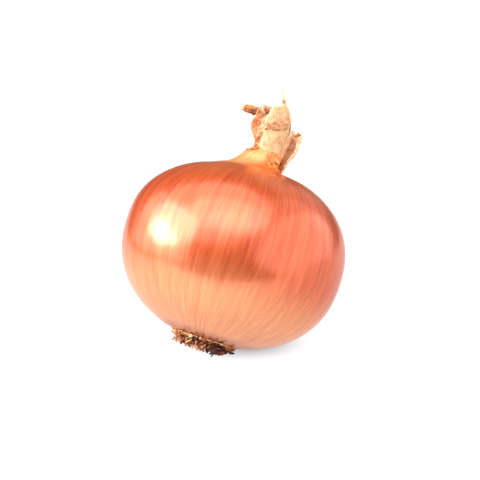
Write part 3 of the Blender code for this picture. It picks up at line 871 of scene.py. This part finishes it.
def scraps_piece(name, shells, finish):
    """One piece of all the scraps, in which each keeps its place on itself."""
    one = shell_faces(SCRAP_STEPS, SCRAP_STEPS)
    size = len(shells[0][0])
    blocks = [one + size * number for number in range(len(shells))]
    points = lie_down(np.vstack([points for points, place in shells]))
    fields = {"scrap": np.vstack([place for points, place in shells])}
    return add_piece(name, points, blocks, finish, fields)


def scrap_finish(name, light, dark, rim):
    """Dry skin in two colours by noise along and across the scrap, paler at its thin ends."""
    finish = Finish(name, Roughness=0.5, IOR=1.45)
    place = finish.field("scrap")
    end = abs(finish.parts(place)[1])
    mottle = finish.noise(place, SCRAP_MOTTLE, 3.0, 0.6)
    grain = finish.noise(place, SCRAP_GRAIN, 2.0)
    colour = finish.blend(light, dark, mottle.rise(0.50, 0.60))
    finish.set(Base_Color=finish.blend(colour, rim, end.rise(0.8, 1.1) * 0.35))
    finish.bumps(grain, 0.2 * MM, 0.5)
    return finish.material


def on_neck(azimuth, height, lift):
    """Points on the shoulder and cone at an azimuth in degrees and a height in millimetres, lifted
    outwards."""
    radius, heights = skin_outline()
    top = np.argmax(heights)
    start = np.argmax(radius)
    around = np.radians(azimuth)
    out = np.interp(height * MM, heights[start : top + 1], radius[start : top + 1]) + lift
    upright = [out * np.cos(around), out * np.sin(around), height * MM + 0.6 * lift]
    return grown(np.stack(upright, axis=-1))


scrap_shells = [
    scrap_shell(on_neck, (azimuth, height), (wide, high), lift, 101 + 7 * number)
    for number, (azimuth, height, wide, high, lift) in enumerate(SCRAPS)
]
burnt_scraps = scrap_finish("burnt_scraps", BURNT_ORANGE, DARK_BROWN, CONE_GOLD)
scraps = scraps_piece("torn_scraps", scrap_shells, burnt_scraps)

# The roots
# The dry roots that grow from the corky plate under the bulb, cut and curled short. They run from
# dark brown to straw, and those on the lower side are bent along the surface.

PLATE_RADIUS = POCKET_RADIUS - 0.3 * MM
PLATE_TOP = POCKET_FLOOR - 0.3 * MM
ROOTS = 620
ROOT_RADIUS = 0.44 * MM
ROOT_LENGTH = 3.7 * MM
ROOT_START = 0.6 * MM
ROOT_LEAN = 8.0  # degrees in the middle of the plate
ROOT_SPREAD = 50.0  # degrees more at its rim
ROOT_STRAY = 24.0  # degrees to either side of that
ROOT_CURL = 2.2
ROOT_WAVE = 0.6 * MM
ROOT_SWERVE = 1.1 * MM
ROOT_RINGS = 9
ROOT_SIDES = 6
ROOT_DARK = (0.060, 0.012, 0.005)
ROOT_BROWN = (0.42, 0.12, 0.035)
ROOT_STRAW = (0.85, 0.48, 0.22)
ROOT_SHADES = ((0.55, 0.5, 0.45), (1.2, 1.2, 1.2))


def root_paths():
    """Middle lines of all the roots, upright: each starts inside the plate at its turn of a
    sunflower spiral, leans out further the nearer it is to the plate's rim, and curls in a wave of
    its own. Also returns, for each, a share for its thickness and a tint, random and, as painted
    light, lighter on the left."""
    draw = np.random.default_rng(11)
    index = np.arange(ROOTS)
    spread = np.sqrt((index + 0.5) / ROOTS)[:, None]
    around = index * math.pi * (3.0 - math.sqrt(5.0)) + draw.uniform(-0.2, 0.2, ROOTS)
    outwards = np.stack([np.cos(around), np.sin(around), 0 * around], axis=-1)[:, None]
    sideways = np.stack([-np.sin(around), np.cos(around), 0 * around], axis=-1)[:, None]
    down = np.array([0.0, 0.0, -1.0])
    start = outwards * spread[..., None] * (PLATE_RADIUS - 0.7 * MM) - (PLATE_TOP - 0.8 * MM) * down
    share = np.linspace(0.0, 1.0, ROOT_RINGS)[None, :]
    draws = draw.uniform(-1.0, 1.0, (6, ROOTS, 1))
    length = ROOT_LENGTH * (0.92 - 0.10 * outwards[..., 1]) * (0.85 + 0.4 * draws[0])
    lean = np.radians(ROOT_LEAN + ROOT_SPREAD * spread**2 + ROOT_STRAY * draws[1])
    lean = lean + ROOT_CURL * draws[2] * share
    ahead = outwards * np.sin(lean)[..., None] + down * np.cos(lean)[..., None]
    wave = np.sin(share * (4.5 + 2.0 * draws[3]) + 3.0 * draws[4]) - np.sin(3.0 * draws[4])
    bend = wave * ROOT_WAVE + ROOT_SWERVE * draws[5] * share**2
    reach = ROOT_START + length * share
    # Painted light: the tint rises towards the left, where the lamps stand; the rest is random.
    tint = 0.50 + 0.5 * draws[3, :, 0] - 0.32 * outwards[:, 0, 0]
    return start + ahead * reach[..., None] + sideways * bend[..., None], draws[5], tint


def keep_clear(paths, radius):
    """Lays the roots' middle lines down, held below the bulb's base outside the pocket and above
    the surface."""
    outwards = np.hypot(paths[..., 0], paths[..., 1])
    ceiling = np.minimum(paths[..., 2], base_height(outwards) - 0.15 * MM - radius)
    beyond = smoothstep(POCKET_RADIUS - 0.8 * MM, POCKET_RADIUS, outwards)
    lowered = paths.copy()
    lowered[..., 2] += (ceiling - paths[..., 2]) * beyond
    laid = lie_down(lowered)
    laid[..., 2] = np.maximum(laid[..., 2], radius * 1.05)
    return laid


def tubes(paths, radius, sides):
    """Closed tubes round all the paths: path + radius (cos(turn) side + sin(turn) other), in rings
    at right angles to the path, with a fan at each end. Returns points by tube, and the corners."""
    count, rings = paths.shape[:2]
    way = unit(np.gradient(paths, axis=1))
    side = unit(np.cross(way, np.array([0.31, 0.87, 0.39])))
    other = np.cross(way, side)
    turn = np.linspace(0.0, 2 * math.pi, sides, endpoint=False)[:, None]
    ring = side[:, :, None] * np.cos(turn) + other[:, :, None] * np.sin(turn)
    grid = paths[:, :, None] + ring * radius[..., None, None]
    points = np.concatenate([grid.reshape(count, -1, 3), paths[:, :1], paths[:, -1:]], axis=1)
    each = np.arange(count)[:, None, None] * points.shape[1]
    quads = (grid_faces(rings, sides) + each).reshape(-1, 4)
    return points, [quads, (end_fans(rings, sides) + each).reshape(-1, 3)]


def root_finish():
    """Dry root: dark brown to straw by each root's tint, which is random and holds painted light on
    the left, mottled by noise.
    """
    finish = Finish("root_brown", Roughness=0.75, IOR=1.4)
    place = finish.node("ShaderNodeTexCoord", {}, {}, "Object")
    tint = finish.field("tint", "Fac")
    mottle = finish.noise(place, (0.9 / MM, 0.9 / MM, 0.9 / MM), 2.0)
    colour = finish.blend(ROOT_DARK, ROOT_BROWN, tint.rise(0.25, 0.80))
    colour = finish.blend(colour, ROOT_STRAW, tint.rise(0.84, 0.96))
    finish.set(Base_Color=finish.shaded(colour, ROOT_SHADES, mottle.rise(0.3, 0.7), 0.7))
    finish.bumps(mottle, 0.2 * MM, 0.6)
    return finish.material


root_brown = root_finish()
root_lines, root_thickness, root_tints_lit_left = root_paths()
taper = 1.0 - 0.45 * np.linspace(0.0, 1.0, ROOT_RINGS)[None, :] ** 2
root_radius = ROOT_RADIUS * (1.0 + 0.35 * root_thickness) * taper
root_points, root_blocks = tubes(keep_clear(root_lines, root_radius), root_radius, ROOT_SIDES)
root_fields = {"tint": np.repeat(root_tints_lit_left, root_points.shape[1])}
roots = add_piece("roots", root_points.reshape(-1, 3), root_blocks, root_brown, root_fields)

# The root plate
# The corky stem of the onion, a low brown disc in the pocket under the bulb, that the leaves and the
# roots grew from.

PLATE_BULGE = 3.1 * MM
PLATE_SIDE = 0.8 * MM
PLATE_BUMPS = ((0.4 * MM, 2.2 * MM, 91), (0.25 * MM, 0.9 * MM, 92))  # depth, width and seed
PLATE_TINT = 0.4
PLATE_ROWS = 60
PLATE_COLUMNS = 160


def plate_grid():
    """The plate's outline, down its side and along a quarter ellipse, carried round its axis, with
    random bumps."""
    turn = np.linspace(0.0, math.pi / 2, PLATE_ROWS - 2)
    radius = np.append([0.9, 1.0], np.cos(0.995 * turn)) * PLATE_RADIUS
    depth = np.append([0.0, 0.2 * MM], PLATE_SIDE + PLATE_BULGE * np.sin(turn))
    around = np.linspace(0.0, 2 * math.pi, PLATE_COLUMNS, endpoint=False)
    circle = np.stack([np.cos(around), np.sin(around), 0 * around], axis=-1)
    grid = radius[:, None, None] * circle
    grid[..., 2] = (PLATE_TOP - depth)[:, None]
    bumps = sum(high * unevenness(grid[2:], width, seed) for high, width, seed in PLATE_BUMPS)
    grid[2:, :, 2] += bumps
    return grid


plate_fields = {"tint": np.full(PLATE_ROWS * PLATE_COLUMNS + 2, PLATE_TINT)}
root_plate = closed_piece("root_plate", lie_down(plate_grid()), root_brown, plate_fields)
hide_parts("root_tuft")

# The flakes round the root plate
# The ragged lower edge of the outer skins, worn to thin straw-coloured flakes that lie on the base
# round the roots.

FLAKES = 34
FLAKE_STRAW = (0.84, 0.44, 0.20)
FLAKE_BROWN = (0.46, 0.18, 0.07)


def on_base(azimuth, distance, lift):
    """Points under the base at an azimuth in degrees and a distance from the axis in millimetres,
    lifted off it."""
    around = np.radians(azimuth)
    height = base_height(distance * MM) - lift - 0.05 * MM
    out = distance * MM + 0.3 * lift
    return np.stack([out * np.cos(around), out * np.sin(around), height], axis=-1)


flake_draw = np.random.default_rng(5)
flake_shells = [
    scrap_shell(
        on_base,
        (360.0 * number / FLAKES + flake_draw.uniform(-4, 4), flake_draw.uniform(10.1, 11.0)),
        (flake_draw.uniform(5, 11), flake_draw.uniform(0.7, 1.6)),
        flake_draw.uniform(0.12, 0.45),
        301 + 5 * number,
    )
    for number in range(FLAKES)
]
flake_straw = scrap_finish("flake_straw", FLAKE_STRAW, FLAKE_BROWN, RIM_CREAM)
flakes = scraps_piece("root_flakes", flake_shells, flake_straw)

# Floor, light and camera
# A white table that glows as a light, with a painted shadow where its glow is less under the onion,
# and more glow in front. Nine soft lights: a window, a lamp and its halo at the left, three
# overhead, two at the right and one behind. The camera is a little above the onion and has a long
# lens.

TABLE_CORNERS = [(-0.3, -0.145, 0), (0.3, -0.145, 0), (0.3, 1, 0), (-0.3, 1, 0)]
TABLE_WHITE = (0.07, 0.07, 0.07)
PAINTED_SHADOW_GLOW = (0.08, 0.09, 0.11)
NEAR_GLOW = (0.96, 0.96, 0.97)
FAR_GLOW = (1.06, 1.06, 1.06)
FRONT_GLOW = (1.6, 1.6, 1.6)
WORLD_STRENGTH = 0.15
LIGHT_DISTANCE = 0.85
CAMERA_ELEVATION = math.radians(15.0)
CAMERA_DISTANCE = 0.75
SENSOR_WIDTH = 36.0
FRAME_PIXELS = 480
PIXEL = 0.3584 * MM
MIDDLE_PIXEL = (233.0, 251.6)  # where the middle of the bulb's widest level is in the picture

floor_mesh = bpy.data.meshes.new("floor")
floor_mesh.from_pydata(TABLE_CORNERS, [], [(0, 1, 2, 3)])
floor = bpy.data.objects.new("floor", floor_mesh)
bpy.context.scene.collection.objects.link(floor)
floor.location.z = -0.02 * MM
white = Finish("white_table", Roughness=0.8, Base_Color=TABLE_WHITE, Emission_Strength=1.0)
on_table = white.node("ShaderNodeTexCoord", {}, {}, "Object")
from_middle = white.node("ShaderNodeVectorMath", {"operation": "LENGTH"}, {0: on_table}, "Value")
in_front = white.parts(on_table)[1].rise(-0.04, -0.10)
# Painted shadow: the glow drops to a dim grey near the middle, under the onion.
glow = white.blend(PAINTED_SHADOW_GLOW, NEAR_GLOW, from_middle.rise(-0.003, 0.026))
glow = white.blend(glow, FAR_GLOW, from_middle.rise(0.1, 0.5))
white.set(Emission_Color=white.blend(glow, FRONT_GLOW, in_front))
floor_mesh.materials.append(white.material)

middle = lie_down(np.zeros(3))


def softbox(name, azimuth, elevation, size, glow, shape="ELLIPSE"):
    """A rectangular or elliptical light that faces the middle of the bulb: its azimuth in degrees
    runs from the front to the right, and its power is its glow times pi times width times height."""
    azimuth = math.radians(azimuth)
    elevation = math.radians(elevation)
    level = math.cos(elevation)
    way = Vector((math.sin(azimuth) * level, -math.cos(azimuth) * level, math.sin(elevation)))
    data = bpy.data.lights.new(name, "AREA")
    data.shape = shape
    data.size, data.size_y = size
    data.energy = glow * math.pi * size[0] * size[1]
    light = bpy.data.objects.new(name, data)
    light.location = Vector(middle) + way * LIGHT_DISTANCE
    light.rotation_euler = (-way).to_track_quat("-Z", "Y").to_euler()
    bpy.context.scene.collection.objects.link(light)


softbox("left_window", -86, 22, (1.25, 0.76), 2.3, "RECTANGLE")
softbox("left_lamp", -79, 18, (0.50, 0.26), 12.0)
softbox("lamp_halo", -75, 29, (0.84, 0.52), 3.8)
softbox("overhead_box", -12, 57, (1.30, 0.78), 1.6)
softbox("overhead_veil", -30, 68, (1.9, 1.6), 1.8)
softbox("overhead_core", -10, 50, (0.80, 0.36), 1.3)
softbox("right_fill", 76, 14, (2.1, 0.9), 1.2)
softbox("right_veil", 72, 26, (2.4, 1.5), 0.55)
softbox("back_fill", 136, 28, (0.7, 0.6), 0.5, "RECTANGLE")

world = bpy.data.worlds.new("studio")
world.use_nodes = True
background = world.node_tree.nodes["Background"].inputs
background["Color"].default_value = (1.0, 1.0, 1.0, 1.0)
background["Strength"].default_value = WORLD_STRENGTH
bpy.context.scene.world = world
bpy.context.scene.view_settings.view_transform = "Standard"

camera_data = bpy.data.cameras.new("camera")
camera_data.sensor_width = SENSOR_WIDTH
camera_data.lens = SENSOR_WIDTH * CAMERA_DISTANCE / (FRAME_PIXELS * PIXEL)
camera_data.clip_start = 0.01
camera = bpy.data.objects.new("camera", camera_data)
up = np.array([0.0, math.sin(CAMERA_ELEVATION), math.cos(CAMERA_ELEVATION)])
back = np.array([0.0, -math.cos(CAMERA_ELEVATION), math.sin(CAMERA_ELEVATION)])
right_by = (FRAME_PIXELS / 2 - MIDDLE_PIXEL[0]) * PIXEL
up_by = (MIDDLE_PIXEL[1] - FRAME_PIXELS / 2) * PIXEL
camera.location = middle + np.array([right_by, 0.0, 0.0]) + up * up_by + back * CAMERA_DISTANCE
camera.rotation_euler = (math.pi / 2 - CAMERA_ELEVATION, 0.0, 0.0)
bpy.context.scene.collection.objects.link(camera)
bpy.context.scene.camera = camera
